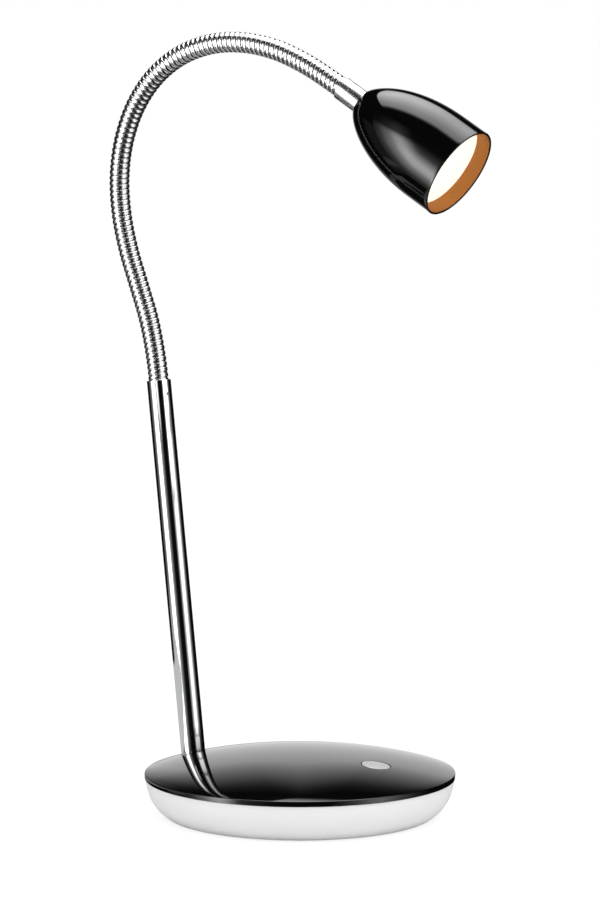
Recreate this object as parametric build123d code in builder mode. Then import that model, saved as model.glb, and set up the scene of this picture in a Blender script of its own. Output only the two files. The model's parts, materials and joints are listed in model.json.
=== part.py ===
from build123d import *
from math import asin, atan2, cos, degrees, hypot, radians, sin, sqrt
import os

# Gooseneck desk lamp. Millimetres, +Z up. The origin is the centre of the base on the table.
# The arm lies in the XZ plane and carries the head towards +X.
# Every piece is drawn where it sits in the finished lamp.
# Big turned forms run in straight bands between rings on their true curve. Hidden hollows, rods
# and bores are many-sided, and so are the neck's barrels, the mouth's ring and the bottom.

os.makedirs("parts", exist_ok=True)

# ---- driving dimensions -------------------------------------------------------------------

# base
BASE_R = 75.0  # rim radius
SEAM_Z = 18.2  # where the black cover sits on the white shell
RIM_H = 2.2  # height of the cover's upright rim
APEX_Z = 30.6  # top of the dome
WALL = 2.5  # moulded wall of the cover
DOME_BANDS = 3
BOWL_R = 74.4  # at the seam, where the bowl's side stands upright
BOWL_ARC = 20.9  # radius that the side curves in with
BOWL_FOOT_Z = 0.6
BOWL_BANDS = 3
PLATE_R = 62.5
PLATE_Z = 1.4
PLATE_T = 1.0
BALLAST_R = 46.5
BALLAST_T = 10.0
POST_PITCH_R = 56.0
POST_COUNT = 3
POST_R = 3.4
SCREW_R = 1.45
SCREW_HOLE_R = 1.5
SCREW_HEAD_R = 2.8
SCREW_HEAD_H = 1.2

# push button, square to the dome
BUTTON_X = 41.6
BUTTON_R = 7.0
BUTTON_T = 2.4
BUTTON_TRAVEL = 1.2
BUTTON_GAP = 0.15  # round the cap, in its guide
GUIDE_DEPTH = 4.4

# stem
STEM_R = 6.0
STEM_WALL = 0.9
STEM_FOOT_X = -60.4  # where the stem's axis meets the dome
STEM_LEAN = 6.0  # degrees away from the head
STEM_LENGTH = 184.5  # above the dome
STEM_BELOW = 10.0  # inside the base

# gooseneck
NECK_R = 5.05
LINK_COUNT = 15
LINK_L = 18.2  # pivot to pivot, along the curve
LINK_GAP = 2.2  # between neighbouring barrels when they are in line
FIRST_PIVOT = 3.0  # above the stem's end
NECK_START = 95.0  # heading at the first pivot, in degrees from +X towards +Z
# the rest curve, as arcs that run into each other: (length, turn in degrees)
NECK_ARCS = ((44.8, 18.3), (39.6, -14.9), (44.4, -31.1), (63.9, -62.2), (45.5, -31.3), (34.9, -9.5))
NOSE_R = 3.3
NOSE_REACH = 2.3  # past the pivot
SOCKET_R = 4.55
SOCKET_DEPTH = 3.4
LEAD_BORE_R = 2.0

# head
SLEEVE_R = 5.7
SLEEVE_L = 13.1  # in view, between neck and shade
SLEEVE_START = 13.2  # past the last pivot
SLEEVE_GRIP = 9.0  # of the last link, inside the sleeve
NIPPLE_R = 4.0
NIPPLE_L = 12.0
SHADE_L = 60.7
MOUTH_R = 22.5
SHADE_END_R = 6.3
BELL_L = 48.0  # from the shade's flat end to where it has the mouth's radius
BELL_FLARE = 2.2  # the bell's curve is a superellipse with these two exponents
BELL_SHOULDER = 0.75
BELL_BANDS = 5
BELL_GROWTH = 1.5  # how fast the bands lengthen away from the flat end
DIFFUSER_DEPTH = 7.2  # behind the mouth
DIFFUSER_T = 2.0
RING_R = 20.9  # inside the copper-coloured ring
RING_OUTER_R = 21.4

GRUB_R = 0.8
FIT = 0.03  # radial clearance between pieces that fit together

# sides of many-sided forms
PLATE_SIDES = 48
WALL_SIDES = 24
BARREL_SIDES = 16
ROD_SIDES = 8


# ---- frames -------------------------------------------------------------------------------


def along(point, heading, distance):
    """The point at a distance from (x, z) along a heading in the XZ plane."""
    return (point[0] + distance * cos(radians(heading)), point[1] + distance * sin(radians(heading)))


def axial_plane(point, heading):
    """A sketch plane through (x, z) whose Y runs along the heading and whose X is the radius."""
    turn = radians(heading)
    return Plane(origin=(point[0], 0, point[1]), x_dir=(sin(turn), 0, -cos(turn)), z_dir=(0, -1, 0))


def cross_plane(point, heading):
    """A sketch plane square to the heading, with its origin at (x, z)."""
    turn = radians(heading)
    ahead = (cos(turn), 0, sin(turn))
    return Plane(origin=(point[0], 0, point[1]), x_dir=(sin(turn), 0, -cos(turn)), z_dir=ahead)


def radial_plane(point, heading, turn):
    """A sketch plane that faces outwards from the axis at (x, z), turned about it in degrees."""
    cross = cross_plane(point, heading)
    outward = cross.x_dir * cos(radians(turn)) + cross.y_dir * sin(radians(turn))
    return Plane(origin=cross.origin, x_dir=cross.z_dir, z_dir=outward)


def axis_of(point, heading):
    turn = radians(heading)
    return Axis(origin=(point[0], 0, point[1]), direction=(cos(turn), 0, sin(turn)))


def neck_point(distance):
    """The neck's centre line at a distance past the first pivot."""
    point, heading = first_pivot, NECK_START
    for length, turn in NECK_ARCS:
        step = min(distance, length)
        bend = turn * step / length
        half = radians(bend / 2)
        point = along(point, heading + bend / 2, step * sin(half) / half)
        heading += bend
        distance -= step
        if distance <= 0:
            break
    return point


RIM_TOP = SEAM_Z + RIM_H
DOME_RISE = APEX_Z - RIM_TOP
DOME_RADIUS = (BASE_R**2 + DOME_RISE**2) / (2 * DOME_RISE)
DOME_CENTRE_Z = APEX_Z - DOME_RADIUS


def dome_z(radius):
    return DOME_CENTRE_Z + sqrt(DOME_RADIUS**2 - radius**2)


def dome_ring(band):
    """Radius and height of a ring of the dome, counted outwards from its top."""
    radius = BASE_R * band / DOME_BANDS
    return (radius, dome_z(radius))


def bowl_ring(band):
    """Radius and height of a ring of the bowl's side, counted down from the seam."""
    turn = asin((SEAM_Z - BOWL_FOOT_Z) / BOWL_ARC) * band / BOWL_BANDS
    return (BOWL_R - BOWL_ARC * (1 - cos(turn)), SEAM_Z - BOWL_ARC * sin(turn))


def bell_ring(band):
    """Radius of a ring of the shade and its distance from the flat end, counted from there."""
    distance = BELL_L * (band / BELL_BANDS) ** BELL_GROWTH
    rise = (1 - (1 - distance / BELL_L) ** BELL_FLARE) ** BELL_SHOULDER
    return (SHADE_END_R + (MOUTH_R - SHADE_END_R) * rise, distance)


stem_heading = 90 + STEM_LEAN
stem_foot = (STEM_FOOT_X, dome_z(STEM_FOOT_X))
stem_top = along(stem_foot, stem_heading, STEM_LENGTH)
stem_end = along(stem_foot, stem_heading, -STEM_BELOW)
first_pivot = along(stem_top, stem_heading, FIRST_PIVOT)

pivots = [first_pivot]
for number in range(1, LINK_COUNT + 1):
    pivots.append(neck_point(number * LINK_L))

headings = []
for near, far in zip(pivots, pivots[1:]):
    headings.append(degrees(atan2(far[1] - near[1], far[0] - near[0])))

head_heading = headings[-1]
sleeve_point = along(pivots[-2], head_heading, SLEEVE_START)
shade_point = along(sleeve_point, head_heading, SLEEVE_L)

button_point = (BUTTON_X, dome_z(BUTTON_X))
button_heading = degrees(atan2(button_point[1] - DOME_CENTRE_Z, BUTTON_X))
button_face = cross_plane(button_point, button_heading)

PLATE_TOP = PLATE_Z + PLATE_T
BALLAST_TOP = PLATE_TOP + BALLAST_T

posts = PolarLocations(POST_PITCH_R, POST_COUNT)


# ---- base ---------------------------------------------------------------------------------

# the space under the dome: its ceiling slopes along with the dome
COVER_HOLLOW_R = 72.2
COVER_SLOPE = (50.0, 9.4)  # inwards, down

with BuildPart() as cover_hollow:
    with BuildSketch(Plane.XY.offset(SEAM_Z)):
        RegularPolygon(COVER_HOLLOW_R, WALL_SIDES)
    extrude(amount=APEX_Z - WALL - SEAM_Z)
    ceiling = cover_hollow.faces().sort_by(Axis.Z)[-1]
    chamfer(ceiling.edges(), *COVER_SLOPE, reference=ceiling)

# glossy dome that closes the top
GUIDE_R = BUTTON_R + BUTTON_GAP
GUIDE_WALL = 1.6
GUIDE_TOP = 1.0  # below the dome, inside its wall
SWITCH_POST_R = 1.8
SWITCH_POST_SPAN = 23.0
SWITCH_BOARD_DEPTH = 12.0
STEM_HOLE_R = STEM_R + 0.2
STEM_HOLE = (-9.0, 12.0)  # start below the dome, length
PILOT_DEPTH = 14.0

with BuildPart() as base_cover:
    with BuildSketch(Plane.XZ):
        with BuildLine():
            Polyline(
                *[dome_ring(band) for band in range(DOME_BANDS + 1)],
                (BASE_R, SEAM_Z),
                (0, SEAM_Z),
                close=True,
            )
        make_face()
    revolve(axis=Axis.Z)
    add(cover_hollow.part, mode=Mode.SUBTRACT)
    with BuildSketch(Plane.XY.offset(PLATE_TOP)):
        with posts:
            RegularPolygon(POST_R, ROD_SIDES)
    extrude(amount=dome_z(POST_PITCH_R) - WALL / 2 - PLATE_TOP)
    with BuildSketch(Plane.XY.offset(PLATE_TOP)):
        with posts:
            RegularPolygon(SCREW_HOLE_R, ROD_SIDES)
    extrude(amount=PILOT_DEPTH, mode=Mode.SUBTRACT)
    with BuildSketch(button_face.offset(-GUIDE_DEPTH)):
        RegularPolygon(GUIDE_R + GUIDE_WALL, WALL_SIDES)
    extrude(amount=GUIDE_DEPTH - GUIDE_TOP)
    with BuildSketch(button_face.offset(-SWITCH_BOARD_DEPTH)):
        with GridLocations(1, SWITCH_POST_SPAN, 1, 2):
            RegularPolygon(SWITCH_POST_R, ROD_SIDES)
    extrude(amount=SWITCH_BOARD_DEPTH - WALL / 2)
    with BuildSketch(button_face.offset(-GUIDE_DEPTH)):
        Circle(GUIDE_R)
    extrude(amount=GUIDE_DEPTH + WALL, mode=Mode.SUBTRACT)
    with BuildSketch(cross_plane(stem_foot, stem_heading).offset(STEM_HOLE[0])):
        Circle(STEM_HOLE_R)
    extrude(amount=STEM_HOLE[1], mode=Mode.SUBTRACT)
base_cover.part.label = "base_cover"
export_step(base_cover.part, "parts/base_cover.step")

# the space in the bowl: it widens upwards along with the bowl's side
BOWL_HOLLOW_R = 72.0
BOWL_SLOPE = (11.7, 10.0)  # inwards, up

with BuildPart() as bowl_hollow:
    with BuildSketch(Plane.XY.offset(PLATE_TOP)):
        RegularPolygon(BOWL_HOLLOW_R, WALL_SIDES)
    extrude(amount=SEAM_Z - PLATE_TOP)
    floor = bowl_hollow.faces().sort_by(Axis.Z)[0]
    chamfer(floor.edges(), *BOWL_SLOPE, reference=floor)

# white bowl between cover and table, with a flat seat for the gland at the back
GLAND_Z = 8.4
GLAND_R = 3.4
GLAND_REACH = 13.4  # from its seat outwards
GLAND_FLANGE = 8.4
GLAND_FLANGE_T = 1.6
GLAND_BORE_R = 2.1
GLAND_SEAT_X = -60.2
GLAND_SEAT_SIDE = GLAND_FLANGE + 0.8
GLAND_SEAT_T = 7.0
GLAND_SEAT_ROOM = 3.0  # cleared in front of the seat
gland_seat = Plane.YZ.offset(GLAND_SEAT_X)

with BuildPart() as base_shell:
    with BuildSketch(Plane.XZ):
        with BuildLine():
            Polyline(
                *[bowl_ring(band) for band in range(BOWL_BANDS + 1)],
                (0, BOWL_FOOT_Z),
                (0, SEAM_Z),
                close=True,
            )
        make_face()
    revolve(axis=Axis.Z)
    with BuildSketch():
        RegularPolygon(PLATE_R + 0.2, PLATE_SIDES)
    extrude(amount=PLATE_TOP, mode=Mode.SUBTRACT)
    add(bowl_hollow.part, mode=Mode.SUBTRACT)
    with BuildSketch(gland_seat):
        with Locations((0, GLAND_Z)):
            Rectangle(GLAND_SEAT_SIDE, GLAND_SEAT_SIDE)
    extrude(amount=-GLAND_SEAT_T)
    with BuildSketch(gland_seat):
        with Locations((0, GLAND_Z)):
            Rectangle(GLAND_SEAT_SIDE, GLAND_SEAT_SIDE)
    extrude(amount=GLAND_SEAT_ROOM, mode=Mode.SUBTRACT)
    with BuildSketch(gland_seat):
        with Locations((0, GLAND_Z)):
            RegularPolygon(GLAND_R, WALL_SIDES)
    extrude(amount=-BASE_R, mode=Mode.SUBTRACT)
base_shell.part.label = "base_shell"
export_step(base_shell.part, "parts/base_shell.step")

# rubber gland that the supply lead leaves by
with BuildPart() as cord_gland:
    with BuildSketch(gland_seat):
        with Locations((0, GLAND_Z)):
            RegularPolygon(GLAND_R - FIT, WALL_SIDES)
    extrude(amount=-GLAND_REACH)
    with BuildSketch(gland_seat):
        with Locations((0, GLAND_Z)):
            Rectangle(GLAND_FLANGE, GLAND_FLANGE)
    extrude(amount=GLAND_FLANGE_T)
    with BuildSketch(gland_seat.offset(GLAND_FLANGE_T)):
        with Locations((0, GLAND_Z)):
            Circle(GLAND_BORE_R)
    extrude(amount=-GLAND_FLANGE_T - GLAND_REACH, mode=Mode.SUBTRACT)
cord_gland.part.label = "cord_gland"
export_step(cord_gland.part, "parts/cord_gland.step")

# steel plate that closes the bottom
with BuildPart() as bottom_plate:
    with BuildSketch(Plane.XY.offset(PLATE_Z)):
        RegularPolygon(PLATE_R, PLATE_SIDES)
        with posts:
            RegularPolygon(SCREW_R + 0.2, ROD_SIDES, mode=Mode.SUBTRACT)
    extrude(amount=PLATE_T)
bottom_plate.part.label = "bottom_plate"
export_step(bottom_plate.part, "parts/bottom_plate.step")

# soft sheet that the lamp stands on, with a hole round each screw
with BuildPart() as foot_pad:
    with BuildSketch(Plane.XY):
        RegularPolygon(PLATE_R - 0.3, PLATE_SIDES)
        with posts:
            RegularPolygon(SCREW_HEAD_R + 0.6, ROD_SIDES, mode=Mode.SUBTRACT)
    extrude(amount=PLATE_Z)
foot_pad.part.label = "foot_pad"
export_step(foot_pad.part, "parts/foot_pad.step")

# hexagon screws from the plate up into the cover's posts
with BuildPart() as base_screws:
    with BuildSketch(Plane.XY.offset(PLATE_Z - SCREW_HEAD_H)):
        with posts:
            RegularPolygon(SCREW_HEAD_R, 6)
    extrude(amount=SCREW_HEAD_H)
    with BuildSketch(Plane.XY.offset(PLATE_Z)):
        with posts:
            RegularPolygon(SCREW_R, ROD_SIDES)
    extrude(amount=12)
base_screws.part.label = "base_screws"
export_step(base_screws.part, "parts/base_screws.step")

# cast iron weight that keeps the lamp upright
BRACKET_SCREWS = ((-37.0, -8.0), (-37.0, 8.0))
TAPPED_DEPTH = 7.0

with BuildPart() as ballast:
    with BuildSketch(Plane.XY.offset(PLATE_TOP)):
        RegularPolygon(BALLAST_R, ROD_SIDES)
    extrude(amount=BALLAST_T)
    with BuildSketch(Plane.XY.offset(BALLAST_TOP - TAPPED_DEPTH)):
        with Locations(*BRACKET_SCREWS):
            RegularPolygon(SCREW_HOLE_R, ROD_SIDES)
    extrude(amount=TAPPED_DEPTH, mode=Mode.SUBTRACT)
ballast.part.label = "ballast"
export_step(ballast.part, "parts/ballast.step")


# ---- stem ---------------------------------------------------------------------------------

STEM_BORE_R = STEM_R - STEM_WALL
STEM_GRUB = (-7.1, -20.0)  # distance from the stem's top, turn about it
stem_grub_point = along(stem_top, stem_heading, STEM_GRUB[0])
stem_grub_plane = radial_plane(stem_grub_point, stem_heading, STEM_GRUB[1])

with BuildPart() as stem:
    with BuildSketch(cross_plane(stem_end, stem_heading)):
        Circle(STEM_R)
        Circle(STEM_BORE_R, mode=Mode.SUBTRACT)
    extrude(amount=STEM_LENGTH + STEM_BELOW)
    with BuildSketch(stem_grub_plane):
        RegularPolygon(GRUB_R, ROD_SIDES)
    extrude(amount=STEM_R + 1, mode=Mode.SUBTRACT)
stem.part.label = "stem"
export_step(stem.part, "parts/stem.step")

with BuildPart() as stem_grub_screw:
    with BuildSketch(stem_grub_plane.offset(STEM_BORE_R)):
        RegularPolygon(GRUB_R - FIT, ROD_SIDES)
    extrude(amount=STEM_WALL - 0.2)
stem_grub_screw.part.label = "stem_grub_screw"
export_step(stem_grub_screw.part, "parts/stem_grub_screw.step")

# cast bracket that carries the stem on the ballast
BOSS_R = 8.0
BOSS_L = 5.1
FOOT_T = 3.0
FOOT_SIZE = (18.0, 26.0)
FOOT_CORNER = 2.0
CLAMP_R = 1.6
clamp_point = along(stem_end, stem_heading, BOSS_L / 2)

with BuildPart() as stem_bracket:
    with BuildSketch(Plane.XY.offset(BALLAST_TOP)) as foot:
        with Locations((-38, 0)):
            Rectangle(*FOOT_SIZE)
        chamfer(foot.vertices(), FOOT_CORNER)
        with Locations((-52, 0)):
            Rectangle(12, 10)
    extrude(amount=FOOT_T)
    with BuildSketch(cross_plane(stem_end, stem_heading)):
        RegularPolygon(BOSS_R, WALL_SIDES)
    extrude(amount=BOSS_L)
    with BuildSketch(cross_plane(stem_end, stem_heading).offset(-FOOT_T)):
        RegularPolygon(STEM_R + FIT, WALL_SIDES, major_radius=False)
    extrude(amount=2 * FOOT_T + BOSS_L, mode=Mode.SUBTRACT)
    with BuildSketch(Plane.XZ):
        Polygon((-51, BALLAST_TOP + 2), (-42, BALLAST_TOP + 2), (-51, BALLAST_TOP + 6), align=None)
    extrude(amount=2, both=True)
    with BuildSketch(Plane.XY.offset(BALLAST_TOP)):
        with Locations(*BRACKET_SCREWS):
            RegularPolygon(SCREW_HOLE_R + 0.1, ROD_SIDES)
    extrude(amount=FOOT_T, mode=Mode.SUBTRACT)
    with BuildSketch(Plane.XZ.offset(BOSS_R + 1)):
        with Locations(clamp_point):
            RegularPolygon(CLAMP_R, ROD_SIDES)
    extrude(amount=-BOSS_R, mode=Mode.SUBTRACT)
stem_bracket.part.label = "stem_bracket"
export_step(stem_bracket.part, "parts/stem_bracket.step")

with BuildPart() as bracket_screws:
    with BuildSketch(Plane.XY.offset(BALLAST_TOP + FOOT_T)):
        with Locations(*BRACKET_SCREWS):
            RegularPolygon(SCREW_HEAD_R, 6)
    extrude(amount=1.8)
    with BuildSketch(Plane.XY.offset(BALLAST_TOP - 6)):
        with Locations(*BRACKET_SCREWS):
            RegularPolygon(SCREW_R, ROD_SIDES)
    extrude(amount=6 + FOOT_T)
bracket_screws.part.label = "bracket_screws"
export_step(bracket_screws.part, "parts/bracket_screws.step")

# grub screw that pins the stem in the bracket's boss
with BuildPart() as stem_clamp_screw:
    with BuildSketch(Plane.XZ.offset(STEM_R + FIT)):
        with Locations(clamp_point):
            RegularPolygon(CLAMP_R - FIT, ROD_SIDES)
    extrude(amount=BOSS_R - STEM_R)
stem_clamp_screw.part.label = "stem_clamp_screw"
export_step(stem_clamp_screw.part, "parts/stem_clamp_screw.step")

# bush in the stem's top that the neck's first link seats in
ANCHOR_DEPTH = 24.0
anchor_top = FIRST_PIVOT - LINK_GAP / 2
anchor_plane = cross_plane(stem_top, stem_heading)

with BuildPart() as neck_anchor:
    with BuildSketch(anchor_plane.offset(-ANCHOR_DEPTH)):
        RegularPolygon(STEM_BORE_R - FIT, BARREL_SIDES)
        RegularPolygon(LEAD_BORE_R, ROD_SIDES, mode=Mode.SUBTRACT)
    extrude(amount=ANCHOR_DEPTH + anchor_top)
    with BuildSketch(anchor_plane.offset(anchor_top)):
        RegularPolygon(SOCKET_R, ROD_SIDES)
    extrude(amount=-SOCKET_DEPTH, mode=Mode.SUBTRACT)
neck_anchor.part.label = "neck_anchor"
export_step(neck_anchor.part, "parts/neck_anchor.step")


# ---- electrics in the base ----------------------------------------------------------------

BOARD_X = 2.0
STANDOFF_H = 2.0
BOARD_T = 1.6
BOARD_SIZE = (48.0, 36.0)
HOLE_SPAN = (41.0, 29.0)
board_z = BALLAST_TOP + STANDOFF_H

with BuildPart() as board_standoffs:
    with BuildSketch(Plane.XY.offset(BALLAST_TOP)):
        with Locations((BOARD_X, 0)):
            with GridLocations(*HOLE_SPAN, 2, 2):
                RegularPolygon(2.8, 6)
    extrude(amount=STANDOFF_H)
board_standoffs.part.label = "board_standoffs"
export_step(board_standoffs.part, "parts/board_standoffs.step")

with BuildPart() as driver_board:
    with BuildSketch(Plane.XY.offset(board_z)):
        with Locations((BOARD_X, 0)):
            Rectangle(*BOARD_SIZE)
    extrude(amount=BOARD_T)
driver_board.part.label = "driver_board"
export_step(driver_board.part, "parts/driver_board.step")

# transformer, choke and film capacitor, soldered on the board
with BuildPart() as driver_parts:
    with BuildSketch(Plane.XY.offset(board_z + BOARD_T)):
        with Locations((BOARD_X - 9, 4)):
            Rectangle(16, 14)
    extrude(amount=7.5)
    with BuildSketch(Plane.XY.offset(board_z + BOARD_T)):
        with Locations((BOARD_X + 10, -7)):
            Rectangle(9, 7)
        with Locations((BOARD_X + 10, 8)):
            Rectangle(13, 6)
    extrude(amount=5)
driver_parts.part.label = "driver_parts"
export_step(driver_parts.part, "parts/driver_parts.step")

SWITCH_H = 3.6
ACTUATOR_H = 0.6

with BuildPart() as switch_board:
    with BuildSketch(button_face.offset(-SWITCH_BOARD_DEPTH)):
        Rectangle(16, SWITCH_POST_SPAN + 4)
    extrude(amount=-1.2)
switch_board.part.label = "switch_board"
export_step(switch_board.part, "parts/switch_board.step")

with BuildPart() as switch_body:
    with BuildSketch(button_face.offset(-SWITCH_BOARD_DEPTH)):
        Rectangle(12, 12)
    extrude(amount=SWITCH_H - ACTUATOR_H)
    with BuildSketch(button_face.offset(SWITCH_H - ACTUATOR_H - SWITCH_BOARD_DEPTH)):
        Rectangle(4, 4)
    extrude(amount=ACTUATOR_H)
switch_body.part.label = "switch_body"
export_step(switch_body.part, "parts/switch_body.step")


# ---- push button --------------------------------------------------------------------------

with BuildPart() as button_cap:
    with BuildSketch(button_face):
        Circle(BUTTON_R)
    extrude(amount=-BUTTON_T)
button_cap.part.label = "button_cap"
export_step(button_cap.part, "parts/button_cap.step")

# plunger under the cap: its square catch stops below the guide, its pin works the switch
CATCH_TOP = GUIDE_DEPTH + 0.4
CATCH_T = 1.1
CATCH_SIDE = 12.8
PIN_END = SWITCH_BOARD_DEPTH - SWITCH_H - BUTTON_TRAVEL - 0.2

with BuildPart() as button_plunger:
    with BuildSketch(button_face.offset(-BUTTON_T)):
        RegularPolygon(5, ROD_SIDES)
    extrude(amount=BUTTON_T - CATCH_TOP)
    with BuildSketch(button_face.offset(-CATCH_TOP)):
        Rectangle(CATCH_SIDE, CATCH_SIDE)
    extrude(amount=-CATCH_T)
    with BuildSketch(button_face.offset(-CATCH_TOP - CATCH_T)):
        Rectangle(3, 3)
    extrude(amount=CATCH_TOP + CATCH_T - PIN_END)
button_plunger.part.label = "button_plunger"
export_step(button_plunger.part, "parts/button_plunger.step")


# ---- gooseneck ----------------------------------------------------------------------------

# A link is a barrel with a nose that sits loosely in the socket of the link below. Nose and
# socket stay either side of a sphere about the pivot, so the link tilts any way until the
# barrels' rims meet. The last link ends in the sleeve.
for number, heading in enumerate(headings, start=1):
    pivot, next_pivot = pivots[number - 1], pivots[number]
    last = number == LINK_COUNT
    barrel_end = hypot(next_pivot[0] - pivot[0], next_pivot[1] - pivot[1]) - LINK_GAP / 2
    if last:
        barrel_end = SLEEVE_START + SLEEVE_GRIP
    link_plane = cross_plane(pivot, heading)
    with BuildPart() as neck_link:
        with BuildSketch(link_plane.offset(LINK_GAP / 2)):
            RegularPolygon(NECK_R, BARREL_SIDES)
        extrude(amount=barrel_end - LINK_GAP / 2)
        with BuildSketch(link_plane.offset(-NOSE_REACH)):
            RegularPolygon(NOSE_R, ROD_SIDES)
        extrude(amount=NOSE_REACH + LINK_GAP / 2)
        with BuildSketch(link_plane.offset(-NOSE_REACH)):
            RegularPolygon(LEAD_BORE_R, ROD_SIDES)
        extrude(amount=NOSE_REACH + barrel_end, mode=Mode.SUBTRACT)
        if not last:
            with BuildSketch(link_plane.offset(barrel_end)):
                RegularPolygon(SOCKET_R, ROD_SIDES)
            extrude(amount=-SOCKET_DEPTH, mode=Mode.SUBTRACT)
    neck_link.part.label = f"neck_link_{number:02d}"
    export_step(neck_link.part, f"parts/neck_link_{number:02d}.step")


# ---- head ---------------------------------------------------------------------------------

SLEEVE_GRUB = (5.8, -117.0)  # distance along the sleeve, turn about it
sleeve_plane = cross_plane(sleeve_point, head_heading)
sleeve_grub_point = along(sleeve_point, head_heading, SLEEVE_GRUB[0])
sleeve_grub_plane = radial_plane(sleeve_grub_point, head_heading, SLEEVE_GRUB[1])

# plain ferrule that grips the neck, with a hollow nipple for the shade
with BuildPart() as head_sleeve:
    with BuildSketch(sleeve_plane):
        Circle(SLEEVE_R)
    extrude(amount=SLEEVE_L)
    with BuildSketch(sleeve_plane.offset(SLEEVE_L)):
        RegularPolygon(NIPPLE_R, BARREL_SIDES)
    extrude(amount=NIPPLE_L)
    with BuildSketch(sleeve_plane):
        RegularPolygon(NECK_R + FIT, BARREL_SIDES)
    extrude(amount=SLEEVE_GRIP + 0.5, mode=Mode.SUBTRACT)
    with BuildSketch(sleeve_plane):
        RegularPolygon(LEAD_BORE_R, ROD_SIDES)
    extrude(amount=SLEEVE_L + NIPPLE_L, mode=Mode.SUBTRACT)
    with BuildSketch(sleeve_grub_plane):
        RegularPolygon(GRUB_R, ROD_SIDES)
    extrude(amount=SLEEVE_R + 1, mode=Mode.SUBTRACT)
head_sleeve.part.label = "head_sleeve"
export_step(head_sleeve.part, "parts/head_sleeve.step")

with BuildPart() as sleeve_grub_screw:
    with BuildSketch(sleeve_grub_plane.offset(NECK_R + FIT)):
        RegularPolygon(GRUB_R - FIT, ROD_SIDES)
    extrude(amount=SLEEVE_R - NECK_R - 0.2)
sleeve_grub_screw.part.label = "sleeve_grub_screw"
export_step(sleeve_grub_screw.part, "parts/sleeve_grub_screw.step")

# the space behind the diffuser: it widens in two slopes along with the bell
SHADE_FLOOR = 2.2
SHADE_HOLLOW_R = 20.3
SHADE_SLOPES = ((7.4, 31.0), (5.5, 16.0))  # inwards, towards the mouth
DIFFUSER_BACK = SHADE_L - DIFFUSER_DEPTH - DIFFUSER_T
shade_plane = cross_plane(shade_point, head_heading)
shade_axis = axis_of(shade_point, head_heading)

with BuildPart() as shade_hollow:
    with BuildSketch(shade_plane.offset(SHADE_FLOOR)):
        RegularPolygon(SHADE_HOLLOW_R, WALL_SIDES)
    extrude(amount=DIFFUSER_BACK - SHADE_FLOOR)
    for slope in SHADE_SLOPES:
        floor = shade_hollow.faces().sort_by(shade_axis)[0]
        chamfer(floor.edges(), *slope, reference=floor)

# bell-shaped shade
with BuildPart() as shade:
    with BuildSketch(axial_plane(shade_point, head_heading)):
        with BuildLine():
            Polyline(
                *[bell_ring(band) for band in range(BELL_BANDS + 1)],
                (MOUTH_R, SHADE_L),
                (0, SHADE_L),
                (0, 0),
                close=True,
            )
        make_face()
    revolve(axis=shade_axis)
    add(shade_hollow.part, mode=Mode.SUBTRACT)
    with BuildSketch(shade_plane.offset(DIFFUSER_BACK)):
        RegularPolygon(RING_OUTER_R + FIT, PLATE_SIDES)
    extrude(amount=SHADE_L - DIFFUSER_BACK, mode=Mode.SUBTRACT)
    with BuildSketch(shade_plane):
        RegularPolygon(NIPPLE_R + FIT, BARREL_SIDES)
    extrude(amount=SHADE_FLOOR, mode=Mode.SUBTRACT)
shade.part.label = "shade"
export_step(shade.part, "parts/shade.step")

NUT_R = 6.2
NUT_T = 3.0

with BuildPart() as shade_nut:
    with BuildSketch(shade_plane.offset(SHADE_FLOOR)):
        RegularPolygon(NUT_R, 6)
        RegularPolygon(NIPPLE_R + FIT, ROD_SIDES, major_radius=False, mode=Mode.SUBTRACT)
    extrude(amount=NUT_T)
shade_nut.part.label = "shade_nut"
export_step(shade_nut.part, "parts/shade_nut.step")

# finned aluminium carrier, screwed on the nipple's end
SINK_START = SHADE_FLOOR + NUT_T + 0.4
SINK_END = 27.0
SINK_CORE_R = 6.6
FIN_COUNT = 12
FIN_START = 9.0

with BuildPart() as heat_sink:
    with BuildSketch(shade_plane.offset(SINK_START)):
        RegularPolygon(SINK_CORE_R, FIN_COUNT)
    extrude(amount=SINK_END - SINK_START)
    with BuildSketch(shade_plane.offset(FIN_START)):
        with PolarLocations(8.4, FIN_COUNT, start_angle=180 / FIN_COUNT):
            Rectangle(5, 1.2)
    extrude(amount=SINK_END - FIN_START)
    with BuildSketch(shade_plane.offset(SINK_START)):
        RegularPolygon(NIPPLE_R + FIT, ROD_SIDES, major_radius=False)
    extrude(amount=NIPPLE_L - SINK_START + 0.5, mode=Mode.SUBTRACT)
    with BuildSketch(shade_plane.offset(SINK_START)):
        RegularPolygon(LEAD_BORE_R, ROD_SIDES)
    extrude(amount=SINK_END, mode=Mode.SUBTRACT)
heat_sink.part.label = "heat_sink"
export_step(heat_sink.part, "parts/heat_sink.step")

LED_BOARD_T = 1.6

with BuildPart() as led_board:
    with BuildSketch(shade_plane.offset(SINK_END)):
        RegularPolygon(12.5, 6)
    extrude(amount=LED_BOARD_T)
led_board.part.label = "led_board"
export_step(led_board.part, "parts/led_board.step")

with BuildPart() as led_chips:
    with BuildSketch(shade_plane.offset(SINK_END + LED_BOARD_T)):
        with PolarLocations(6.5, 6):
            Rectangle(2.8, 2.8)
        Rectangle(2.8, 2.8)
    extrude(amount=0.7)
led_chips.part.label = "led_chips"
export_step(led_chips.part, "parts/led_chips.step")

with BuildPart() as diffuser:
    with BuildSketch(shade_plane.offset(DIFFUSER_BACK)):
        RegularPolygon(RING_OUTER_R - 0.1, WALL_SIDES)
    extrude(amount=DIFFUSER_T)
diffuser.part.label = "diffuser"
export_step(diffuser.part, "parts/diffuser.step")

# copper-coloured ring that lines the mouth and holds the diffuser in
RING_SETBACK = 0.4

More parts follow.
